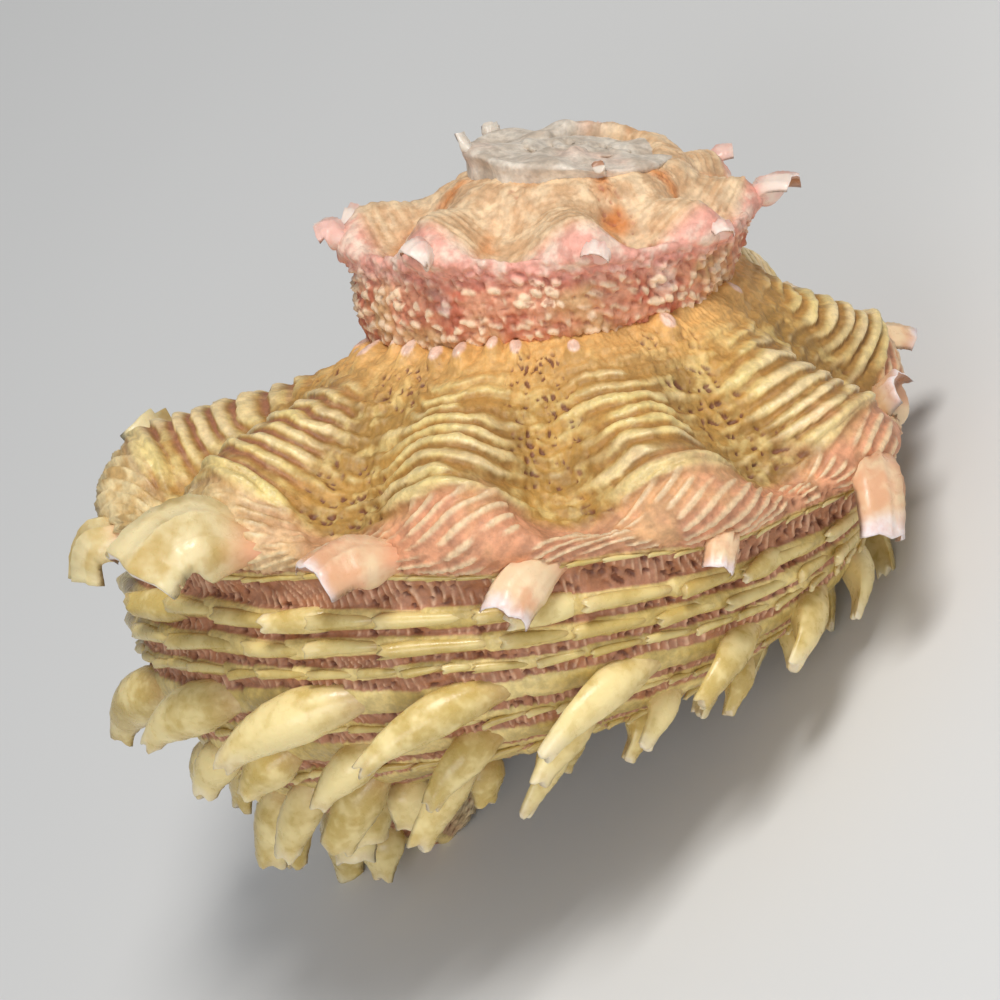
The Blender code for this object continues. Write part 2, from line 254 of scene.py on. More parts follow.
def colour_setting(name, description, default):
    return bpy.props.FloatVectorProperty(
        name=name, description=description, default=default, subtype="COLOR", min=0, max=1,
    )


def power_setting(name, description, default):
    return bpy.props.FloatProperty(name=name, description=description, default=default, unit="POWER")


class CoilSettings(bpy.types.PropertyGroup):
    """The spiral that every piece follows, the same as the solid's"""

    lip_radius: length_setting("Lip radius", "From the coiling axis to the shoulder, at the lip", 0.0254)
    growth: share_setting("Growth", "How much wider each whorl is than the one before", 1.94)
    lip_bearing: angle_setting("Lip bearing", "Where the lip stands round the axis", 115)
    flat_radius: length_setting("Flat radius", "Whorls narrower than this lie flat at the apex", 0.0072)
    drop: share_setting("Drop", "How far the shoulder falls for each metre that it widens", 1.29)
    drop_softness: length_setting(
        "Drop softness", "How gently the flat apex turns into the spire", 0.0012
    )
    wall: length_setting("Wall", "Thickness of the wall at the lip", 0.0013)
    turn: angle_setting("Turn", "Of the resting shell, round its coiling axis", -19.15)
    lean_back: angle_setting("Lean back", "Of the coiling axis, away from the photographed side", 3.51)
    lean_right: angle_setting("Lean right", "Of the coiling axis", 47.8)
    apex_place: bpy.props.FloatVectorProperty(
        name="Apex", description="Where the apex is when the shell rests",
        default=(0.01621, -0.00159, 0.02406), subtype="TRANSLATION", unit="LENGTH",
    )


class SculptureSettings(bpy.types.PropertyGroup):
    """Heights of the folds, cords, threads and pits that cover the wall"""

    body_folds: share_setting("Body whorl folds", "Height, as a share of the shoulder radius", 0.17)
    spire_folds: share_setting("Spire folds", "Height, as a share of the shoulder radius", 0.22)
    disc_folds: share_setting("Disc folds", "Height, as a share of the shoulder radius", 0.10)
    ramp_cords: bpy.props.IntProperty(
        name="Ramp cords", description="Spiral cords between suture and shoulder", default=11,
    )
    ramp_cord_height: length_setting(
        "Ramp cord height", "On a whorl of 20 mm shoulder radius", 0.00052, 5
    )
    thread_pitch: length_setting("Thread pitch", "Spacing of the fine growth threads", 0.00048, 5)
    thread_height: length_setting(
        "Thread height", "Of the fine growth threads between the cords", 0.00016, 5
    )
    pit_pitch: length_setting("Pit pitch", "Spacing of the pits", 0.00066, 5)
    pit_depth: length_setting("Pit depth", "Of the pits between the cords", 0.00026, 5)


class ColourSettings(bpy.types.PropertyGroup):
    """Colours of the shell, as linear values"""

    ochre: colour_setting("Ramp", "The body whorl's ramp", (0.56, 0.31, 0.075))
    cord: colour_setting("Cords", "Raised cords and crests", (0.85, 0.66, 0.27))
    olive: colour_setting(
        "Spine cords", "The yellow-green flank cords and spines", (0.58, 0.42, 0.13)
    )
    pink: colour_setting("Shoulder pink", "Shoulders and the spire", (0.78, 0.36, 0.20))
    wine: colour_setting("Between cords", "The red-brown floor between the cords", (0.42, 0.17, 0.075))
    # Pits: the shell's dark red, deepened as painted shade inside the pits.
    pit: colour_setting("Pits", "The darkest pits", (0.20, 0.065, 0.03))
    chalk: colour_setting("Worn white", "Worn tips, beads and the apex", (0.84, 0.74, 0.62))
    pearl: colour_setting("Pearl", "The lining of the mouth", (0.80, 0.78, 0.72))


class StageSettings(bpy.types.PropertyGroup):
    """The camera's place relative to the shell's own axis, and the lights"""

    distance: length_setting("Camera distance", "From the camera to the point that it looks at", 0.33, 2)
    elevation: angle_setting("Elevation", "Above the plane across the coiling axis", 13.5)
    roll: angle_setting("Roll", "Of the coiling axis in the picture", 3)
    picture_width: length_setting("Picture width", "What the picture spans at the shell", 0.05, 2)
    key: power_setting("Key light", "Power of the main light", 1.35)
    fill: power_setting("Fill light", "Power of the soft light", 0.95)


def smooth(x, low, high):
    """0 below low, 1 above high, and a soft step between. Low may be above high."""
    t = np.clip((x - low) / (high - low), 0.0, 1.0)
    return t * t * (3 - 2 * t)


def band(x, low, low_full, high_full, high):
    """1 from low_full to high_full, falling softly to 0 at low and high."""
    return smooth(x, low, low_full) * smooth(x, high, high_full)


def hump(x, centre, width):
    """1 at centre, falling away on both sides."""
    return np.exp(-(((x - centre) / width) ** 2))


def scatter(i, j, seed):
    """A repeatable number from 0 to 1 for each pair of whole numbers."""
    wave = np.sin(i * 127.1 + j * 311.7 + seed * 74.7) * 43758.5453
    return wave - np.floor(wave)


def grain(x, y, seed=0):
    """Soft noise from 0 to 1, about one blob for each unit of x and y."""
    i, j = np.floor(x), np.floor(y)
    u, v = x - i, y - j
    u, v = u * u * (3 - 2 * u), v * v * (3 - 2 * v)
    low = scatter(i, j, seed) * (1 - u) + scatter(i + 1, j, seed) * u
    high = scatter(i, j + 1, seed) * (1 - u) + scatter(i + 1, j + 1, seed) * u
    return low * (1 - v) + high * v


def cells(x, y, seed=0):
    """Distance to the nearest of one scattered point for each unit square, and its number."""
    i, j = np.floor(x), np.floor(y)
    nearest = np.full(np.broadcast(x, y).shape, 9.0)
    number = np.zeros_like(nearest)
    for di in (-1, 0, 1):
        for dj in (-1, 0, 1):
            px = i + di + 0.12 + 0.76 * scatter(i + di, j + dj, seed)
            py = j + dj + 0.12 + 0.76 * scatter(i + di, j + dj, seed + 5)
            distance = np.hypot(x - px, y - py)
            number = np.where(distance < nearest, scatter(i + di, j + dj, seed + 9), number)
            nearest = np.minimum(nearest, distance)
    return nearest, number


def shoulder_radius(coil, station):
    return coil.lip_radius * coil.growth ** (-station)


def shoulder_height(coil, station):
    excess = (shoulder_radius(coil, station) - coil.flat_radius) / coil.drop_softness
    return -coil.drop * coil.drop_softness * np.logaddexp(0.0, excess)


def closed_curve(values, place):
    """A smooth closed curve through values, read at place, which counts along its points."""
    count = len(values)
    index = np.floor(place).astype(int)
    u = place - index
    before, here, after, beyond = (values[(index + k) % count] for k in (-1, 0, 1, 2))
    return 0.5 * (
        2 * here
        + (after - before) * u
        + (2 * before - 5 * here + 4 * after - beyond) * u**2
        + (3 * here - before - 3 * after + beyond) * u**3
    )


def section_at(coil, station, place):
    """Distance from the axis and height of points of the plain section, in metres."""
    out = np.array([share for _, share, _ in SECTION])
    up = np.array([0.0 if height is None else height for _, _, height in SECTION])
    on_ramp = np.array([height is None for _, _, height in SECTION])
    radius = shoulder_radius(coil, station)
    slope = np.clip(RAMP_STEEPNESS * (radius - RAMP_LEVEL_RADIUS), 0.0, STEEPEST_RAMP)
    ramp_rise = closed_curve(np.where(on_ramp, 1 - out, 0.0), place)
    hidden = closed_curve(np.where(up > 0, up, 0.0), place)
    rest = closed_curve(np.where(up > 0, 0.0, up), place)
    rise = ramp_rise * slope + hidden * slope / STEEPEST_RAMP + rest
    return closed_curve(out, place) * radius, shoulder_height(coil, station) + rise * radius


def section_width(place):
    """Distance round the plain section from the suture, as a share of the shoulder radius."""
    steps = np.linspace(-3, AROUND, 40 * (AROUND + 3))
    out = np.array([share for _, share, _ in SECTION])
    up = np.array(
        [(1 - share) * STEEPEST_RAMP if height is None else height for _, share, height in SECTION]
    )
    run = np.hypot(np.diff(closed_curve(out, steps)), np.diff(closed_curve(up, steps)))
    along = np.concatenate([[0.0], np.cumsum(run)])
    return np.interp(place, steps, along - np.interp(0.0, steps, along))


def lean(place):
    """How far a point of a growth line is from the line's station, in turns."""
    round_place = np.mod(place, AROUND)
    base = PLACES["lower_row"]
    knots = (PLACES["suture"], PLACES["shoulder"], base, base + 2, AROUND)
    leans = (LEAN_AT_SUTURE, 0, LEAN_AT_BASE, LEAN_AT_BASE, LEAN_AT_SUTURE)
    return np.interp(round_place, knots, leans)


def fold_crest(station):
    """1 on the crest of each fold and 0 in the valleys."""
    phase = np.interp(station, FOLD_STATIONS, np.arange(len(FOLD_STATIONS)))
    return (0.5 + 0.5 * np.cos(TURN * phase)) ** FOLD_SHARPNESS


def folded_surface(coil, sculpture, station, place):
    """Points of the outside with its folds and no finer relief, in the coil's own frame."""
    station, place = np.broadcast_arrays(np.asarray(station, float), np.asarray(place, float))
    at = station + lean(place)
    radius, height = section_at(coil, at, place)
    ahead, behind = (section_at(coil, at, place + step) for step in (0.02, -0.02))
    along = np.array([ahead[0] - behind[0], ahead[1] - behind[1]])
    along /= np.maximum(np.hypot(*along), 1e-12)
    spire = sculpture.spire_folds
    heights = (sculpture.body_folds, spire, spire, sculpture.disc_folds)
    fold_height = np.interp(station, FOLD_CHANGE, heights)
    fold_place = np.mod(place + 4, AROUND) - 4
    fold = fold_height * (fold_crest(station) - FOLD_VALLEY) * hump(fold_place, FOLD_PLACE, FOLD_WIDTH)
    out = fold * shoulder_radius(coil, at)
    radius, height = radius - along[1] * out, height + along[0] * out
    bearing = coil.lip_bearing + TURN * at
    return np.stack([radius * np.cos(bearing), radius * np.sin(bearing), height], axis=-1)


def growth_length(coil, station):
    """Length of the shoulder's spiral from its far end to station, in metres."""
    return shoulder_radius(coil, station) * TURN / math.log(coil.growth)


class Spot:
    """Where points of the wall lie, in the terms that its sculpture follows."""

    def __init__(self, coil, station, place):
        self.station, self.place = station, place
        self.radius = shoulder_radius(coil, station + lean(place))
        self.size = self.radius / REFERENCE_RADIUS
        self.length = growth_length(coil, station)
        self.share = section_width(place)
        self.width = self.share * self.radius
        self.crest = fold_crest(station)
        self.strong = smooth(self.crest, 0.02, 0.72)
        self.body = smooth(station, 1.06, 0.92)
        self.disc = smooth(station, 1.85, 2.1)
        self.patches = grain(self.length / 0.0034, self.width / 0.0028, 8)
        self.warp = 0.8 * (grain(self.length / 0.0005, self.width / 0.0005, 15) - 0.5)
        self.ramp = band(place, 0.1, 0.5, RAMP_EDGE, RAMP_EDGE + 0.12)
        self.shoulder = band(place, RAMP_EDGE - 0.1, RAMP_EDGE + 0.1, 3.35, 3.6)


def cord_wander(length, seed):
    """How far a cord strays from its place, in places."""
    return 0.10 * (grain(length / 0.0045, length * 0 + seed, 7) - 0.5)


def segmented_cord(spot, cord, seed):
    """A cord made of overlapping scales: 0 beside it, up to 1 on the raised end of each scale."""
    centre, half_width, _, segment = cord
    turns = spot.length / segment + 0.6 * grain(spot.length / segment / 3, spot.length * 0 + seed, 3)
    share = 1 - (turns - np.floor(turns))
    scale = 0.55 + 0.45 * (1 - share) ** 0.8 * smooth(share, 0.0, 0.08)
    x = spot.place - centre - cord_wander(spot.length, seed)
    x = x / (half_width * (0.75 + 0.35 * scale))
    return np.sqrt(np.clip(1 - x**2, 0, 1)) * scale * (0.25 + 0.75 * spot.body) * (1 - spot.disc)


def ramp_tiles(spot, count):
    """Spiral cords of the ramp: beads in the valleys, and overlapping roof tiles on the folds."""
    low, high = section_width(0.0), section_width(RAMP_EDGE)
    across = (spot.share - low) / (high - low)
    line = across * count + 1.1 * (grain(spot.length / 0.0036, across * 3, 1) - 0.5)
    line = line + 0.35 * (grain(spot.length / 0.0013, across * 7, 27) - 0.5)
    number = np.floor(line)
    step = line - number
    tile = smooth(step, 0.0, 0.70) ** 0.8 * smooth(step, 1.0, 0.86)
    bead = (0.5 - 0.5 * np.cos(TURN * step)) * (0.3 + 0.7 * grain(spot.length / 0.0008, number * 7.3, 2))
    broken = smooth(grain(spot.length / 0.0021, number * 5.1, 28), 0.12, 0.42)
    ridge = 0.75 * bead * (1 - spot.strong) + tile * spot.strong * (0.35 + 0.65 * broken)
    ridge = ridge * (0.60 + 0.40 * scatter(number, number * 0, 12))
    ridge = ridge * (0.66 + 0.34 * grain(spot.length / 0.0010, number * 3.1, 13))
    inner = 0.3 + 0.7 * smooth(across, 0.12, 0.55)
    return spot.ramp * ridge * inner * (0.40 + 0.60 * spot.body) * (1 - spot.disc)


def rolled_edge(spot):
    """The glossy rolled edge where each fold overhangs the shoulder."""
    wander = 0.24 * (grain(spot.length / 0.0022, spot.length * 0, 24) - 0.5)
    edge = smooth(spot.place, RAMP_EDGE - 0.38, RAMP_EDGE - 0.08 + wander)
    edge = edge * smooth(spot.place, RAMP_EDGE + 0.08 + wander, RAMP_EDGE + wander)
    edge = edge * (0.35 + 0.65 * grain(spot.length / 0.0028, spot.length * 0, 29))
    return edge * spot.strong * (1 - spot.disc) * (0.35 + 0.65 * spot.body)


def shoulder_stripes(spot):
    """Glossy ribs that run down the shoulder, forward into its spines."""
    line = (spot.length - 0.0078 * spot.place * spot.size) / 0.0013
    line = line + 1.5 * grain(spot.length / 0.0032, spot.place * 0.8, 25)
    rib = (0.5 + 0.5 * np.cos(TURN * line)) ** 1.3
    uneven = smooth(grain(spot.length / 0.0012, spot.place * 2.6, 26), 0.25, 0.65)
    return rib * uneven * spot.shoulder * spot.body


def relief(coil, sculpture, station, place):
    """Height of the fine relief in metres, and the masks that colour it: cord, pit and light."""
    spot = Spot(coil, station, place)
    length, width, size = spot.length, spot.width, spot.size
    tiles = ramp_tiles(spot, sculpture.ramp_cords)
    edge = rolled_edge(spot)
    stripes = shoulder_stripes(spot)

    flank_cord = np.zeros_like(place)
    cord_height = np.zeros_like(place)
    for number, cord in enumerate(FLANK_CORDS + ROW_CORDS):
        shape = segmented_cord(spot, cord, number)
        flank_cord = np.maximum(flank_cord, shape)
        cord_height = np.maximum(cord_height, shape * cord[2] * size)

    wall = band(place, 3.3, 3.6, 10.5, 11.5)
    gap = wall * (1 - smooth(flank_cord, 0.1, 0.45)) * (1 - spot.disc)
    turns = length / sculpture.thread_pitch + 2.2 * grain(length / 0.0019, width / 0.0016, 4)
    thread = (1 - np.abs(2 * (turns - np.floor(turns)) - 1)) ** 1.6
    thread = thread * smooth(grain(length / 0.0009, width / 0.0007, 14), 0.15, 0.5)

    spacing = sculpture.pit_pitch
    nearest, number = cells(length / spacing + spot.warp, width / (0.85 * spacing) - spot.warp, 6)
    rim = 0.18 + 0.36 * number
    valley = spot.ramp * (1 - smooth(tiles, 0.1, 0.4)) * smooth(spot.patches, 0.15, 0.55)
    pitted = np.maximum(gap * smooth(spot.patches, 0.0, 0.25), valley * (1 - 0.8 * spot.strong))
    pitted = np.maximum(pitted, 0.7 * spot.shoulder * (1 - spot.strong) * smooth(spot.patches, 0.45, 0.7))
    pitted = pitted * (1 - spot.disc) * (0.60 + 0.40 * spot.body)
    pit = smooth(nearest, rim, rim * 0.35) * smooth(number, 0.12, 0.3) * pitted

    drum = smooth(station, 0.98, 1.10) * band(place, 2.6, 3.3, 6.5, 7.5) * (1 - spot.disc)
    drum = drum * (0.4 + 0.9 * grain(length / 0.0026, width / 0.0018, 32))
    lump_cell, lump_number = cells(length / 0.00080 + spot.warp, width / 0.00066, 16)
    lump = smooth(lump_cell, 0.55, 0.05) * (0.3 + 0.7 * lump_number)
    knob_cell, knob_number = cells(length / 0.0030, (place + 0.15) / 0.6, 11)
    knob = smooth(knob_cell, 0.28 + 0.26 * knob_number, 0.10) * smooth(knob_number, 0.30, 0.45)
    knob = knob * band(place, -0.3, -0.1, 0.40, 0.6) * smooth(station, 1.3, 1.1)

    rough = (grain(length / 0.00035, width / 0.00035, 9) - 0.5) * 0.00008
    rough = rough + (grain(length / 0.0011, width / 0.0011, 10) - 0.5) * 0.00022
    lip_of_suture = band(place, -0.7, -0.1, 0.45, 1.3) * band(station, 1.05, 1.2, 1.95, 2.2)
    crinkle = (grain(length / 0.0016, width / 0.0026, 31) - 0.5) * CRINKLE_HEIGHT * spot.disc
    uneven_ramp = 0.85 * spot.ramp * (1 - spot.strong) * spot.body
    height = (
        sculpture.ramp_cord_height * tiles * size
        + EDGE_HEIGHT * edge * size
        + STRIPE_HEIGHT * stripes * size
        + SUTURE_LIP_HEIGHT * lip_of_suture
        + crinkle
        + cord_height
        + sculpture.thread_height * thread * (0.2 + 0.8 * gap) * (1 - spot.disc)
        - sculpture.pit_depth * pit * (1 - 0.3 * spot.ramp)
        + LUMP_HEIGHT * lump * (drum + 0.6 * uneven_ramp)
        + KNOB_HEIGHT * knob
        + rough * (1 - 0.7 * spot.disc) * (1 - 0.6 * smooth(flank_cord, 0.2, 0.6))
    )
    light = np.maximum.reduce([knob, lump * drum, 0.6 * thread * gap * spot.body, stripes])
    return height, np.maximum.reduce([tiles * 1.25, edge, flank_cord]), pit, light


def frames(coil, sculpture, station, place):
    """Points of the folded wall, and the forward, outward and down-the-section directions."""
    here = folded_surface(coil, sculpture, station, place)
    forward = folded_surface(coil, sculpture, station - 0.0008, place)
    forward = unit(forward - folded_surface(coil, sculpture, station + 0.0008, place))
    down = folded_surface(coil, sculpture, station, place + 0.02)
    down = down - folded_surface(coil, sculpture, station, place - 0.02)
    down = unit(down - forward * (down * forward).sum(axis=-1, keepdims=True))
    return here, forward, np.cross(forward, down), down


def unit(vectors):
    return vectors / np.maximum(np.linalg.norm(vectors, axis=-1, keepdims=True), 1e-15)


def skin_points(coil, sculpture, station, place):
    """Points of the wall with all its relief, and the two groups of masks for its colours."""
    points, _, outward, _ = frames(coil, sculpture, station, place)
    height, cord, pit, light = relief(coil, sculpture, station, place)
    growth = np.stack([station, place, fold_crest(station)], axis=-1)
    return points + outward * height[..., None], growth, np.stack([cord, pit, light], axis=-1)


def columns(visible, hidden):
    """Places round the section, close together where the wall shows and far apart inside."""
    fine = np.linspace(-0.6, 10.8, 400)
    widths = section_width(fine)
    below = section_width(6.3)
    weighted = np.minimum(widths, below) + BASE_DETAIL * np.maximum(widths - below, 0.0)
    outside = np.interp(np.linspace(weighted[0], weighted[-1], visible), weighted, fine)
    before = np.linspace(SEAM_PLACE, -0.6, hidden // 3, endpoint=False)
    after = np.linspace(10.8, SEAM_PLACE + AROUND, hidden)[1:]
    return np.concatenate([before, outside, after])


def stance(coil):
    """Carries the coil's own frame, whose origin is the apex, to where the shell rests."""
    turn = Matrix.Rotation(coil.turn, 4, "Z")
    tilt = Matrix.Rotation(coil.lean_right, 4, "Y") @ Matrix.Rotation(-coil.lean_back, 4, "X")
    return Matrix.Translation(coil.apex_place) @ tilt @ turn


def add_skin(mesh, points, growth, masks):
    """Adds a grid shaped to points, with its two long edges joined, as one stretch of skin."""
    rows, across = points.shape[:2]
    made = bmesh.ops.create_grid(mesh, x_segments=rows - 1, y_segments=across - 1, size=1)
    growth_layer = mesh.verts.layers.float_vector["growth"]
    mask_layer = mesh.verts.layers.float_vector["masks"]
    flat_points = points.swapaxes(0, 1).reshape(-1, 3).tolist()
    flat_growth = growth.swapaxes(0, 1).reshape(-1, 3).tolist()
    flat_masks = masks.swapaxes(0, 1).reshape(-1, 3).tolist()
    for number, vertex in enumerate(made["verts"]):
        vertex.co = flat_points[number]
        vertex[growth_layer] = flat_growth[number]
        vertex[mask_layer] = flat_masks[number]
    edge = [vertex for vertex in made["verts"] if vertex.is_boundary]
    bmesh.ops.remove_doubles(mesh, verts=edge, dist=2e-6)


def new_skin():
    mesh = bmesh.new()
    mesh.verts.layers.float_vector.new("growth")
    mesh.verts.layers.float_vector.new("masks")
    return mesh


def wear_flat(mesh):
    """Takes off what would reach below the resting plane, and closes the worn places."""
    whole = list(mesh.verts) + list(mesh.edges) + list(mesh.faces)
    worn = bmesh.ops.bisect_plane(
        mesh, geom=whole, dist=1e-7, plane_co=(0, 0, 0), plane_no=(0, 0, -1), clear_outer=True,
    )
    cut_edges = [part for part in worn["geom_cut"] if isinstance(part, bmesh.types.BMEdge)]
    if cut_edges:
        bmesh.ops.holes_fill(mesh, edges=cut_edges)


def finish_piece(name, mesh, coil, material):
    """Makes the skin an object, lays it where the shell rests, and hands it to the frame."""
    mesh.transform(stance(coil))
    wear_flat(mesh)
    data = bpy.data.meshes.new(name)
    mesh.to_mesh(data)
    mesh.free()
    data.shade_smooth()
    data.materials.append(material)
    piece = bpy.data.objects.new(name, data)
    bpy.context.scene.collection.objects.link(piece)
    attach(piece, BODY)
    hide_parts(NODE)
    return piece


def whorl(name, coil, sculpture, stations, places, material):
    """A stretch of the wall between the first and last of its stations, oldest first."""
    station, place = np.meshgrid(stations, places, indexing="ij")
    points, growth, masks = skin_points(coil, sculpture, station, place)
    if stations[0] >= APEX_STATION:
        points[0] = points[0].mean(axis=0)
    mesh = new_skin()
    add_skin(mesh, points, growth, masks)
    return finish_piece(name, mesh, coil, material)


def add_tongue(mesh, centres, backs, half_widths, half_heights, undersides, chip, tag):
    """A closed tongue along centres, arched towards backs, hollow where its underside is over 0."""
    along = unit(np.gradient(centres, axis=0))
    backs = unit(backs - along * (backs * along).sum(axis=-1, keepdims=True))
    across = np.cross(along, backs)
    ring_count, points_round = len(centres), tag["round"]
    angles = np.linspace(0, TURN, points_round + 1)
    cosine, sine = np.cos(angles), np.sin(angles)
    seed, length = tag["seed"], tag["length"]
    teeth = chip * (grain(cosine * 2.2 + seed * 3.7, cosine * 0 + seed, 20) - 0.55)
    teeth = teeth + 0.5 * chip * np.sin(cosine * 5.5 + seed * 2.3)
    stops = [(0, 0.0, 0.0)] + [(ring, 1.0, 0.0) for ring in range(ring_count)]
    stops += [(ring_count - 1, 0.78, 0.022), (ring_count - 1, 0.42, 0.034), (ring_count - 1, 0.0, 0.034)]
    points, growth, masks = [], [], []
    for ring, spread, push in stops:
        u = ring / (ring_count - 1)
        under = undersides[ring]
        rib = np.cos(9 * angles + 2.5 * grain(angles * 0 + u * 3, angles * 0 + seed, 33))
        full = np.where(sine >= 0, sine * (1 + tag.get("ribs", 0.0) * rib), -under * sine)
        middle = np.abs(sine) * (1 + under) / 2
        rise = (middle + spread * (full - middle)) * half_heights[ring]
        side = cosine * half_widths[ring] * (0.92 + 0.08 * spread)
        reach = (teeth * float(smooth(u, 0.72, 1.0)) + push) * length
        points.append(
            centres[ring]
            + np.outer(side, across[ring])
            + np.outer(rise, backs[ring])
            + np.outer(reach, along[ring])
        )
        # Marks the hollow underside, which the tongue materials darken as painted shade.
        hollow = np.where(sine < -0.05, max(0.0, under), 0.0)
        growth.append(np.stack([angles * 0 + u, angles * 0 + tag["station"], hollow], axis=-1))
        edge = 1.0 - spread if ring else 0.0
        masks.append(np.stack([angles * 0 + u, angles * 0 + edge, angles * 0 + (seed * 0.37) % 1], axis=-1))
    add_skin(mesh, np.array(points), np.array(growth), np.array(masks))


def add_spine(mesh, coil, sculpture, row, station, sizes, seed):
    """A tongue that runs along its cord, lifts off forward, and ends in a chipped tip."""
    long, wide, droop = sizes
    at, place = np.array(float(station)), np.array(float(row["place"]))
    here, forward, outward, down = frames(coil, sculpture, at, place)
    size = float(shoulder_radius(coil, station))
    length = row["length"] * size * long
    behind = at + row["behind"] * length / (TURN * size)
    start, _, start_outward, _ = frames(coil, sculpture, behind, place)
    start = start - start_outward * 0.05 * size

    def direction(shares, drooping=1.0):
        return shares[0] * forward + shares[1] * outward + shares[2] * drooping * down

    lift = here + outward * 0.010 * size
    middle, tip = (here + length * direction(row[name], droop) for name in ("middle", "tip"))
    u = np.linspace(0, 1, SPINE_RINGS)[:, None]
    v = 1 - u
    centres = v**3 * start + 3 * v * v * u * lift + 3 * v * u * u * middle + u**3 * tip
    backs = np.repeat(direction(row["back"])[None], SPINE_RINGS, axis=0)
    u = u[:, 0]
    pointed = row.get("pointed", 1.0) * (0.25 + 0.45 * float(scatter(seed, station * 50, 21)))
    swell = 0.35 + 0.85 * smooth(u, 0.0, 0.5) - pointed * smooth(u, 0.5, 1.05)
    swell = swell + 0.02 * np.sin(TURN * (u * 8 + grain(u * 6, u * 0 + seed, 22)))
    under = (row["hollow"] + 1) * smooth(u, 0.30, 0.85) - 1
    tag = {"round": SPINE_ROUND, "seed": seed + station, "length": length, "station": station}
    tag["ribs"] = row.get("ribs", 0.02)
    add_tongue(
        mesh, centres, backs, row["half_width"] * size * wide * swell,
        row["half_thickness"] * size * wide**0.7 * swell, under, CHIPPED, tag,
    )  # fmt: skip


def add_cord_scales(mesh, coil, sculpture, cord, seed):
    """Scales along one cord, each starting under the tip of the older one behind it."""
    centre, half_width, usual, roundness = cord
    station, number = -0.004, 0
    while station < OLDEST_SCALE:
        size = float(shoulder_radius(coil, station)) / REFERENCE_RADIUS
        chance = scatter(np.array([1.0, 2.0, 3.0]) + number * 7, np.array([seed] * 3), 23)
        length = usual * size * (0.65 + 0.7 * chance[0])
        turns = length / (TURN * REFERENCE_RADIUS * size)
        u = np.linspace(0, 1, SCALE_RINGS)
        stations = station + turns * (1 - u)
        stray = cord_wander(growth_length(coil, stations), seed) + 0.10 * (chance[1] - 0.5) * u
        here, forward, outward, _ = frames(coil, sculpture, stations, centre + stray)
        lift = -0.5 + 0.9 * smooth(u, 0.0, 0.45) + (0.3 + 0.9 * chance[2]) * u**6
        heights = half_width * size * lift + 0.00010 * size
        centres = here + outward * heights[:, None]
        swell = 0.30 + 0.80 * u**0.8 - 0.18 * smooth(u, 0.8, 1.0)
        tag = {"round": SCALE_ROUND, "seed": seed * 5.3 + number, "length": length, "station": station}
        add_tongue(
            mesh, centres, outward - 0.3 * forward, half_width * size * swell,
            half_width * roundness * size * swell, -1 + 0.6 * smooth(u, 0.8, 1.0), 0.05, tag,
        )  # fmt: skip
        station += turns * 0.86
        number += 1


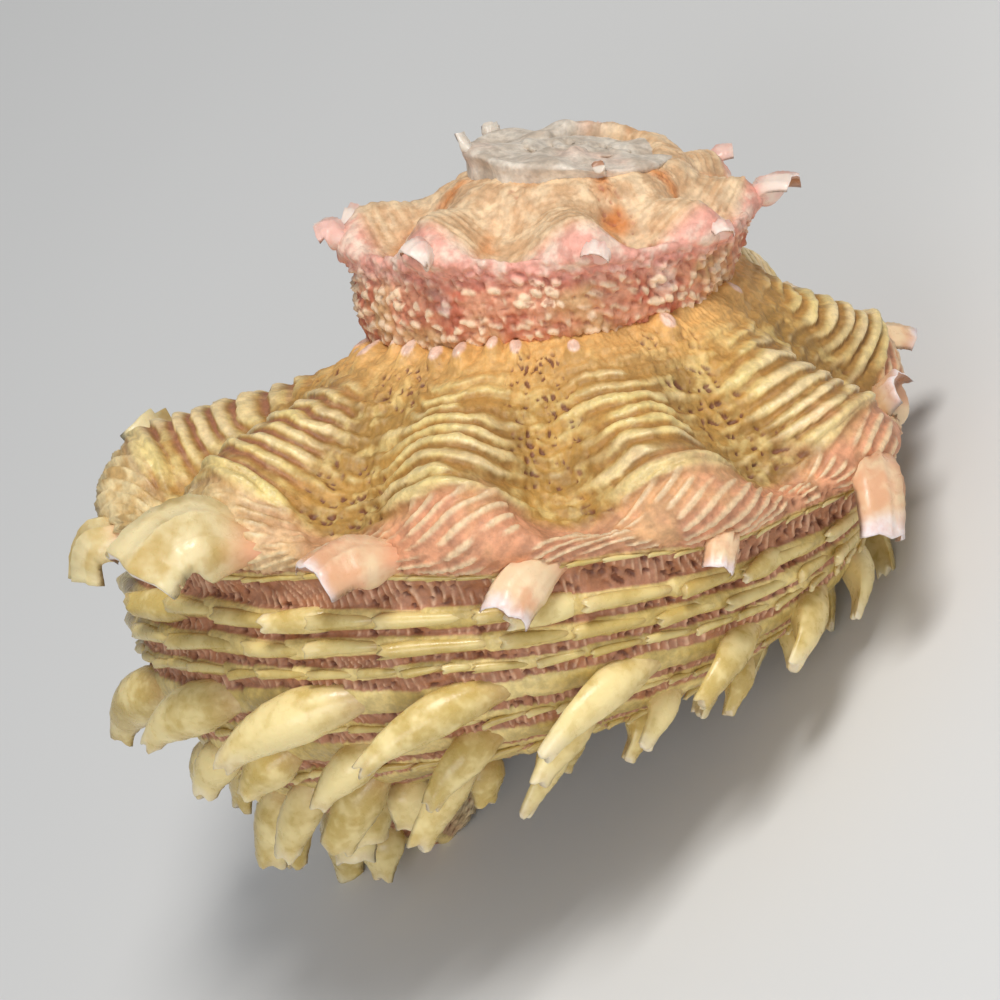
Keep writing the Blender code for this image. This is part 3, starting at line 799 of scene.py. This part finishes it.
class Mixer:
    """A material, with short words for the node set-ups that the shell's materials repeat."""

    def __init__(self, name):
        self.material = bpy.data.materials.new(name)
        self.material.use_nodes = True
        self.tree = self.material.node_tree
        self.tree.nodes.clear()
        output = self.node("ShaderNodeOutputMaterial")
        self.shader = self.node("ShaderNodeBsdfPrincipled")
        self.put(self.shader.outputs["BSDF"], output.inputs["Surface"])
        self.object_place = self.node("ShaderNodeTexCoord").outputs["Object"]

    def node(self, kind, **settings):
        node = self.tree.nodes.new(kind)
        for name, value in settings.items():
            setattr(node, name, value)
        return node

    def put(self, value, socket):
        """Sets socket to a number or a colour, or links another node's output to it."""
        if isinstance(value, bpy.types.NodeSocket):
            self.tree.links.new(value, socket)
        else:
            socket.default_value = (*value[:3], 1.0) if isinstance(value, tuple) else value

    def give(self, looks):
        """Sets or links inputs of the shader."""
        for name, value in looks.items():
            self.put(value, self.shader.inputs[name])

    def glow(self, weight):
        """The faint glow of light inside the shell."""
        self.give({"Subsurface Weight": weight, "Subsurface Scale": 0.0010, "Specular IOR Level": 0.5})
        self.shader.inputs["Subsurface Radius"].default_value = (1.0, 0.6, 0.4)

    def attribute(self, name):
        split = self.node("ShaderNodeSeparateXYZ")
        self.put(self.node("ShaderNodeAttribute", attribute_name=name).outputs["Vector"], split.inputs[0])
        return split.outputs["X"], split.outputs["Y"], split.outputs["Z"]

    def noise(self, size, detail=3.0):
        """Noise with blobs about size metres across."""
        node = self.node("ShaderNodeTexNoise")
        for name, value in (("Scale", 1 / size), ("Detail", detail), ("Roughness", 0.55)):
            node.inputs[name].default_value = value
        self.put(self.object_place, node.inputs["Vector"])
        return node.outputs["Fac"]

    def step(self, value, low, high, start=0.0, end=1.0):
        """value carried from low..high to start..end with a soft step, and held outside."""
        node = self.node("ShaderNodeMapRange", interpolation_type="SMOOTHSTEP")
        for name, number in (("From Min", low), ("From Max", high), ("To Min", start), ("To Max", end)):
            node.inputs[name].default_value = number
        self.put(value, node.inputs["Value"])
        return node.outputs["Result"]

    def math(self, operation, a, b):
        node = self.node("ShaderNodeMath", operation=operation)
        self.put(a, node.inputs[0])
        self.put(b, node.inputs[1])
        return node.outputs["Value"]

    def times(self, a, b):
        return self.math("MULTIPLY", a, b)

    def where(self, *steps, share=1.0):
        """share where all the soft steps are over, each given as a value and its low and high."""
        factor = self.step(*steps[0], 0.0, share)
        for step in steps[1:]:
            factor = self.times(factor, self.step(*step))
        return factor

    def stray(self, value, by, share):
        """value, moved up or down by a share of by, which is 0.5 where it moves nothing."""
        return self.math("ADD", value, self.times(self.math("SUBTRACT", by, 0.5), share))

    def blend(self, factor, a, b, mode="MIX"):
        """Colour a, turning into colour b as factor goes to 1."""
        node = self.node("ShaderNodeMix", data_type="RGBA", blend_type=mode)
        for value, number in ((factor, 0), (a, 6), (b, 7)):
            self.put(value, node.inputs[number])
        return node.outputs[2]

    def fade(self, value, low, high, a, b, share=1.0):
        """Colour a, turning into a share of colour b as value goes from low to high."""
        return self.blend(self.step(value, low, high, 0.0, share), a, b)

    def bump(self, height, distance, strength):
        node = self.node("ShaderNodeBump")
        node.inputs["Distance"].default_value = distance
        node.inputs["Strength"].default_value = strength
        self.put(height, node.inputs["Height"])
        return node.outputs["Normal"]


def shaded(colour, share):
    return tuple(channel * share for channel in colour)


def wall_material(colours):
    """Ochre ramp, yellow cords, wine-red hollows, painted shade in the ramp's grooves, the pits and the
    spire's fold valleys, pink shoulders and spire, and a chalky apex.
    """
    mix = Mixer("shell_wall")
    station, place, crest = mix.attribute("growth")
    cord, pit, light = mix.attribute("masks")
    patches, mottle, specks = (mix.noise(size) for size in (0.0045, 0.0013, 0.00045))
    names = ("ochre", "cord", "olive", "pink", "wine", "chalk", "pit")
    ochre, yellow, olive, pink, wine, chalk, darkest = (tuple(getattr(colours, name)) for name in names)

    ramp = mix.fade(patches, 0.36, 0.62, ochre, shaded(ochre, 0.62))
    ramp = mix.fade(mottle, 0.48, 0.68, ramp, yellow, 0.6)
    ramp = mix.fade(place, 1.0, 0.25, ramp, (0.80, 0.45, 0.15), 0.8)
    # Darker red-brown and ochre-brown in the grooves between the ramp's tiles on the folds: partly the
    # shell's own colour, partly painted shade under the tiles' overhang.
    groove_colour_and_shade = mix.fade(station, 0.36, 0.28, (0.40, 0.19, 0.045), (0.36, 0.12, 0.08))
    groove_shade_mask = mix.where((cord, 0.42, 0.05), (crest, 0.15, 0.60), (place, 0.5, 1.1), share=0.70)
    ramp = mix.blend(groove_shade_mask, ramp, groove_colour_and_shade)
    tops = mix.fade(patches, 0.40, 0.60, yellow, (0.88, 0.68, 0.36))
    ramp = mix.fade(cord, 0.25, 0.80, ramp, tops)
    rosy_patch = mix.where((patches, 0.56, 0.70), (place, 1.4, 2.2), share=0.35)
    ramp = mix.blend(rosy_patch, ramp, pink)

    band_pink = mix.fade(mottle, 0.36, 0.60, shaded(pink, 0.72), pink)
    band_pink = mix.fade(patches, 0.50, 0.66, band_pink, (0.74, 0.46, 0.20), 0.6)
    band_pink = mix.fade(light, 0.25, 0.85, band_pink, (0.90, 0.66, 0.40), 0.9)
    near_lip = mix.fade(mottle, 0.38, 0.62, (0.60, 0.40, 0.16), (0.84, 0.67, 0.36))
    band_pink = mix.fade(station, 0.36, 0.27, band_pink, near_lip)
    shoulder = mix.where((place, 2.22, 2.50), (place, 3.75, 3.45), share=0.92)
    upper = mix.blend(shoulder, ramp, band_pink)
    edge = mix.where((cord, 0.35, 0.80), (place, 2.42, 2.34), (place, 1.95, 2.15), share=0.55)
    upper = mix.blend(edge, upper, (0.76, 0.60, 0.22))

    floor = mix.fade(mottle, 0.36, 0.62, wine, shaded(pink, 0.62))
    floor = mix.fade(light, 0.15, 0.6, floor, (0.76, 0.45, 0.28))
    cords = mix.fade(patches, 0.40, 0.64, olive, yellow)
    flank = mix.fade(cord, 0.18, 0.50, floor, cords)
    body = mix.fade(place, 3.40, 3.70, upper, flank)
    umbilicus = mix.fade(mottle, 0.3, 0.7, (0.60, 0.46, 0.26), (0.42, 0.28, 0.13))
    body = mix.fade(place, 9.2, 10.4, body, umbilicus)

    spire_ramp = mix.fade(mottle, 0.4, 0.62, (0.66, 0.41, 0.22), (0.86, 0.62, 0.38))
    spire_ramp = mix.fade(cord, 0.12, 0.50, spire_ramp, (0.90, 0.70, 0.44), 0.5)
    # Orange-brown in patches in the fold valleys: the spire's own orange tone, deepened as painted shade of
    # the shadowed valleys.
    orange_valley_shade = mix.where((crest, 0.4, 0.05), (patches, 0.45, 0.6))
    spire_ramp = mix.blend(orange_valley_shade, spire_ramp, (0.70, 0.27, 0.08))
    drum = mix.fade(mottle, 0.38, 0.60, (0.54, 0.15, 0.08), (0.72, 0.32, 0.19))
    drum = mix.fade(patches, 0.50, 0.66, drum, (0.66, 0.44, 0.20), 0.7)
    drum = mix.fade(light, 0.08, 0.42, drum, (0.92, 0.66, 0.44))
    drum = mix.fade(patches, 0.40, 0.30, drum, (0.90, 0.74, 0.64), 0.55)
    spire = mix.fade(place, 3.2, 3.8, spire_ramp, drum)
    blush = mix.where((place, 2.0, 2.7), (place, 4.4, 3.5), share=0.85)
    blush_colour = mix.fade(mottle, 0.42, 0.64, (0.84, 0.38, 0.31), (0.90, 0.66, 0.54))
    spire = mix.blend(blush, spire, blush_colour)
    colour = mix.fade(station, 0.97, 1.07, body, spire)
    disc = mix.fade(mottle, 0.35, 0.65, (0.56, 0.46, 0.36), (0.76, 0.67, 0.56))
    disc = mix.fade(patches, 0.52, 0.68, disc, (0.80, 0.56, 0.44), 0.6)
    colour = mix.fade(station, 1.86, 2.06, colour, disc)

    knobs = mix.where((light, 0.7, 0.95), (place, 0.7, 0.4))
    bead_colour = mix.blend(mix.times(patches, 0.6), (0.84, 0.48, 0.34), chalk)
    colour = mix.blend(knobs, colour, bead_colour)
    # Pits turn near-black red-brown: the shell's dark red, deepened as painted shade inside the pits.
    pit_shade_colour = mix.fade(station, 0.97, 1.07, darkest, (0.42, 0.13, 0.07))
    colour = mix.fade(pit, 0.15, 0.85, colour, pit_shade_colour, 0.9)
    grain_shade = mix.step(specks, 0.3, 0.7, 0.80, 1.10)
    tint = mix.node("ShaderNodeCombineColor")
    for channel in tint.inputs[:3]:
        mix.put(grain_shade, channel)
    wet = mix.math("MAXIMUM", cord, mix.times(light, 0.8))
    mix.give({
        "Base Color": mix.blend(1.0, colour, tint.outputs["Color"], "MULTIPLY"),
        "Roughness": mix.step(wet, 0.2, 0.8, 0.55, 0.30),
        "Normal": mix.bump(mix.noise(0.00022, 4.0), 0.00007, 0.8),
    })
    mix.glow(0.06)
    return mix.material


def finish_tongue(mix, colour, specks, roughness, bump_strength, glow):
    mix.give({
        "Base Color": colour,
        "Roughness": mix.step(specks, 0.3, 0.7, *roughness),
        "Normal": mix.bump(mix.noise(0.0004), 0.00005, bump_strength),
    })
    mix.glow(glow)
    return mix.material


def tongue_material(name, chalk, body, light, root, chalky):
    """Glossy tongues: darker at the root, mottled along, chalky at the worn, chipped edge, and dark brown
    inside the hollow underside as painted shade.
    """
    mix = Mixer(name)
    along, _, hollow = mix.attribute("growth")
    _, edge, chance = mix.attribute("masks")
    patches, specks = mix.noise(0.0020), mix.noise(0.0005)
    colour = mix.fade(mix.stray(patches, chance, 0.22), 0.34, 0.66, body, light)
    colour = mix.fade(along, 0.42, 0.02, colour, root)
    colour = mix.fade(specks, 0.5, 0.72, colour, light, 0.35)
    worn = mix.stray(mix.stray(along, patches, 0.35), chance, 0.16)
    colour = mix.fade(worn, 0.84, 1.10, colour, chalk, chalky)
    colour = mix.fade(edge, 0.1, 0.5, colour, chalk, chalky)
    # Painted shade: the hollow underside turns dark brown, standing in for the shade inside it.
    colour = mix.fade(hollow, 0.0, 0.35, colour, (0.42, 0.25, 0.15), 0.8)
    return finish_tongue(mix, colour, specks, (0.24, 0.38), 0.5, 0.12)


def shoulder_material(colours):
    """Shoulder tongues: cream near the lip, pink to lilac round the whorl, white on the spire, and dark
    brown inside their hollows as painted shade.
    """
    mix = Mixer("tongue_rosy")
    along, station, hollow = mix.attribute("growth")
    _, edge, _ = mix.attribute("masks")
    patches, specks = mix.noise(0.0022), mix.noise(0.0005)
    cream = mix.fade(patches, 0.34, 0.60, (0.60, 0.43, 0.16), (0.82, 0.68, 0.38))
    rosy = mix.fade(patches, 0.38, 0.62, (0.76, 0.42, 0.24), (0.86, 0.64, 0.40))
    colour = mix.fade(station, 0.29, 0.34, cream, rosy)
    lilac = mix.fade(specks, 0.35, 0.65, (0.88, 0.66, 0.62), (0.92, 0.80, 0.78))
    tip = mix.step(mix.stray(along, patches, 0.5), 0.76, 1.05)
    colour = mix.blend(mix.times(tip, mix.step(station, 0.29, 0.36)), colour, lilac)
    spire = mix.fade(patches, 0.4, 0.6, (0.86, 0.52, 0.44), (0.88, 0.72, 0.62))
    colour = mix.fade(station, 1.03, 1.08, colour, spire)
    colour = mix.fade(station, 1.86, 2.0, colour, (0.72, 0.63, 0.53))
    colour = mix.blend(mix.where((along, 0.35, 0.05), (station, 1.1, 1.0)), colour, tuple(colours.pink))
    colour = mix.fade(edge, 0.1, 0.5, colour, (0.93, 0.84, 0.80), 0.8)
    # Painted shade: the hollow underside turns dark brown, standing in for the shade inside it.
    colour = mix.fade(hollow, 0.0, 0.35, colour, (0.42, 0.20, 0.11), 0.9)
    return finish_tongue(mix, colour, specks, (0.26, 0.42), 0.6, 0.15)


def pearl_material(colours):
    """Silvery lining with faint pink and green bands."""
    mix = Mixer("pearl_lining")
    station, _, _ = mix.attribute("growth")
    clouds, bands = mix.noise(0.006), mix.noise(0.0015)
    colour = mix.fade(clouds, 0.35, 0.6, tuple(colours.pearl), (0.82, 0.70, 0.66))
    colour = mix.fade(bands, 0.5, 0.7, colour, (0.66, 0.76, 0.68), 0.5)
    colour = mix.fade(station, 0.03, 0.0, colour, (0.74, 0.55, 0.28))
    mix.give({"Base Color": colour, "Roughness": 0.22, "Metallic": 0.15, "Coat Weight": 0.3})
    mix.give({"Normal": mix.bump(bands, 0.00008, 0.5)})
    return mix.material


def floor_material():
    mix = Mixer("pale_floor")
    colour = mix.blend(mix.noise(0.05), (0.70, 0.70, 0.69), (0.73, 0.73, 0.72))
    mix.give({"Base Color": colour, "Roughness": 0.8})
    return mix.material


class SHELL_OT_whorls(bpy.types.Operator):
    """Models the coiled wall in stretches, from the apex to the lip"""

    bl_idname = "shell.whorls"
    bl_label = "Whorls"

    def execute(self, context):
        scene = context.scene
        material = wall_material(scene.shell_colours)
        for name, (oldest, youngest, rows, visible, hidden) in WHORLS.items():
            stations = np.linspace(oldest, youngest, rows)
            places = columns(visible, hidden)
            whorl(name, scene.shell_coil, scene.shell_sculpture, stations, places, material)
        return {"FINISHED"}


class SHELL_OT_shoulder_spines(bpy.types.Operator):
    """Models the hollow tongues at the ends of the folds"""

    bl_idname = "shell.shoulder_spines"
    bl_label = "Shoulder spines"

    def execute(self, context):
        scene = context.scene
        mesh = new_skin()
        for number, (station, place, *sizes) in enumerate(SHOULDER_TONGUES):
            row = {**SHOULDER_SPINES, "place": place}
            add_spine(mesh, scene.shell_coil, scene.shell_sculpture, row, station, sizes, number + 1)
        finish_piece("shoulder_spines", mesh, scene.shell_coil, shoulder_material(scene.shell_colours))
        return {"FINISHED"}


class SHELL_OT_spines(bpy.types.Operator):
    """Models each row of tongue-shaped spines as one piece"""

    bl_idname = "shell.spines"
    bl_label = "Spine rows"

    def execute(self, context):
        scene = context.scene
        colours = scene.shell_colours
        material = tongue_material(
            "tongue_olive", tuple(colours.chalk), tuple(colours.olive), (0.87, 0.71, 0.34),
            (0.46, 0.24, 0.10), 0.40,
        )
        for count, (name, row) in enumerate(SPINE_ROWS.items()):
            mesh = new_skin()
            for number, station in enumerate(row["stations"]):
                chance = scatter(np.arange(3.0) + number * 5, np.array([count] * 3), 30)
                long = row.get("lengths", (1.0,) * len(row["stations"]))[number]
                long = long * (0.93 + 0.14 * chance[0])
                sizes = (long, 0.85 + 0.30 * chance[1], 0.7 + 0.6 * chance[2])
                add_spine(
                    mesh, scene.shell_coil, scene.shell_sculpture, row, station, sizes,
                    count * 40 + number,
                )  # fmt: skip
            finish_piece(name, mesh, scene.shell_coil, material)
        return {"FINISHED"}


class SHELL_OT_cords(bpy.types.Operator):
    """Models the overlapping scales of the spiral cords"""

    bl_idname = "shell.cords"
    bl_label = "Cord scales"

    def execute(self, context):
        scene = context.scene
        colours = scene.shell_colours
        mesh = new_skin()
        for number, cord in enumerate(CORD_SCALES):
            add_cord_scales(mesh, scene.shell_coil, scene.shell_sculpture, cord, number)
        material = tongue_material(
            "cord_olive", tuple(colours.chalk), shaded(colours.olive, 0.95), (0.74, 0.58, 0.24),
            (0.40, 0.20, 0.09), 0.12,
        )
        finish_piece("flank_cords", mesh, scene.shell_coil, material)
        return {"FINISHED"}


class SHELL_OT_lining(bpy.types.Operator):
    """Models the lip's edge and the pearly lining behind it"""

    bl_idname = "shell.lining"
    bl_label = "Pearly lining"

    def execute(self, context):
        scene = context.scene
        coil, sculpture = scene.shell_coil, scene.shell_sculpture
        places = columns(*WHORLS["body_whorl_front"][3:])
        rings = [*LIP_RINGS, *((station, 1.0) for station in np.linspace(*LINING_STATIONS)), *DEEPEST_RINGS]
        points, growth = [], []
        for station, depth in rings:
            station = np.full_like(places, station)
            outer, shape, _ = skin_points(coil, sculpture, np.maximum(station, 0.0), places)
            if station[0] < 0:
                _, forward, _, _ = frames(coil, sculpture, station * 0, places)
                outer = outer - forward * (TURN * coil.lip_radius * station[:, None])
            smooth_wall = folded_surface(coil, sculpture, station, places)
            outer = outer + (smooth_wall - outer) * min(1.0, depth)
            centre = smooth_wall[:-1].mean(axis=0)
            inward = centre - outer
            reach = np.maximum(np.linalg.norm(inward, axis=1, keepdims=True), 1e-6)
            points.append(outer + inward * np.minimum(coil.wall * depth / reach, 0.9))
            growth.append(shape)
        points.append(np.repeat(points[-1][:-1].mean(axis=0)[None], len(places), axis=0))
        growth.append(growth[-1])
        points, growth = np.array(points), np.array(growth)
        mesh = new_skin()
        add_skin(mesh, points, growth, growth * 0)
        finish_piece("pearl_lining", mesh, coil, pearl_material(scene.shell_colours))
        return {"FINISHED"}


def area_light(name, place, aim, size, power, colour):
    data = bpy.data.lights.new(name, "AREA")
    data.shape = "DISK"
    data.size = size
    data.energy = power
    data.color = colour
    light = bpy.data.objects.new(name, data)
    light.location = place
    light.rotation_euler = (Vector(aim) - Vector(place)).to_track_quat("-Z", "Y").to_euler()
    bpy.context.scene.collection.objects.link(light)


class SHELL_OT_stage(bpy.types.Operator):
    """Sets the floor, the camera and the soft lights"""

    bl_idname = "shell.stage"
    bl_label = "Stage"

    def execute(self, context):
        scene = context.scene
        coil, stage = scene.shell_coil, scene.shell_stage
        mesh = bmesh.new()
        bmesh.ops.create_grid(mesh, x_segments=1, y_segments=1, size=FLOOR_HALF_WIDTH)
        data = bpy.data.meshes.new("floor")
        mesh.to_mesh(data)
        mesh.free()
        data.materials.append(floor_material())
        floor = bpy.data.objects.new("floor", data)
        scene.collection.objects.link(floor)

        rise = Vector((0, math.sin(stage.elevation), math.cos(stage.elevation)))
        look = Vector((0, math.cos(stage.elevation), -math.sin(stage.elevation)))
        side = Vector((1, 0, 0))
        right = side * math.cos(stage.roll) + rise * math.sin(stage.roll)
        up = rise * math.cos(stage.roll) - side * math.sin(stage.roll)
        aim = Vector(AIM) - right * AIM_RIGHT - up * AIM_UP
        at = aim - look * stage.distance
        view = Matrix.Identity(4)
        for column, direction in enumerate((right, up, -look, at)):
            for row in range(3):
                view[row][column] = direction[row]
        data = bpy.data.cameras.new("photo_camera")
        data.sensor_width = 36
        data.lens = data.sensor_width * stage.distance / stage.picture_width
        data.clip_start = 0.01
        camera = bpy.data.objects.new("photo_camera", data)
        camera.matrix_world = stance(coil) @ view
        scene.collection.objects.link(camera)
        scene.camera = camera

        turn = stance(coil).to_3x3()
        centre = stance(coil) @ aim
        powers = (stage.key, stage.fill, RIM_POWER * stage.fill)
        for power, (name, light) in zip(powers, LIGHTS.items()):
            to_right, to_up, to_look, distance, size, tint = light
            side = turn @ (right * to_right + up * to_up + look * to_look)
            area_light(name, centre + side * distance, centre, size, power, tint)

        scene.view_settings.view_transform = "Standard"
        world = bpy.data.worlds.new("studio")
        world.use_nodes = True
        sky = world.node_tree.nodes["Background"]
        sky.inputs["Color"].default_value = SKY_COLOUR
        sky.inputs["Strength"].default_value = SKY_STRENGTH
        scene.world = world
        return {"FINISHED"}


class SHELL_PT_panel(bpy.types.Panel):
    """Lists the shell's settings and its pieces"""

    bl_label = "Dolphin snail shell"
    bl_idname = "SHELL_PT_panel"
    bl_space_type = "VIEW_3D"
    bl_region_type = "UI"
    bl_category = "Shell"

    def draw(self, context):
        scene = context.scene
        for group in (scene.shell_coil, scene.shell_sculpture, scene.shell_colours, scene.shell_stage):
            box = self.layout.box()
            for setting in group.bl_rna.properties:
                if not setting.is_readonly and setting.identifier != "name":
                    box.prop(group, setting.identifier)
        for operator in OPERATORS:
            self.layout.operator(operator.bl_idname)


GROUPS = {
    "shell_coil": CoilSettings,
    "shell_sculpture": SculptureSettings,
    "shell_colours": ColourSettings,
    "shell_stage": StageSettings,
}
OPERATORS = (
    SHELL_OT_whorls,
    SHELL_OT_shoulder_spines,
    SHELL_OT_spines,
    SHELL_OT_cords,
    SHELL_OT_lining,
    SHELL_OT_stage,
)


def register():
    for cls in (*GROUPS.values(), *OPERATORS, SHELL_PT_panel):
        bpy.utils.register_class(cls)
    for name, group in GROUPS.items():
        setattr(bpy.types.Scene, name, bpy.props.PointerProperty(type=group))


def unregister():
    for name in GROUPS:
        delattr(bpy.types.Scene, name)
    for cls in reversed((*GROUPS.values(), *OPERATORS, SHELL_PT_panel)):
        bpy.utils.unregister_class(cls)


def main():
    register()
    bpy.ops.shell.whorls()
    bpy.ops.shell.shoulder_spines()
    bpy.ops.shell.spines()
    bpy.ops.shell.cords()
    bpy.ops.shell.lining()
    bpy.ops.shell.stage()


if __name__ == "__main__":
    main()
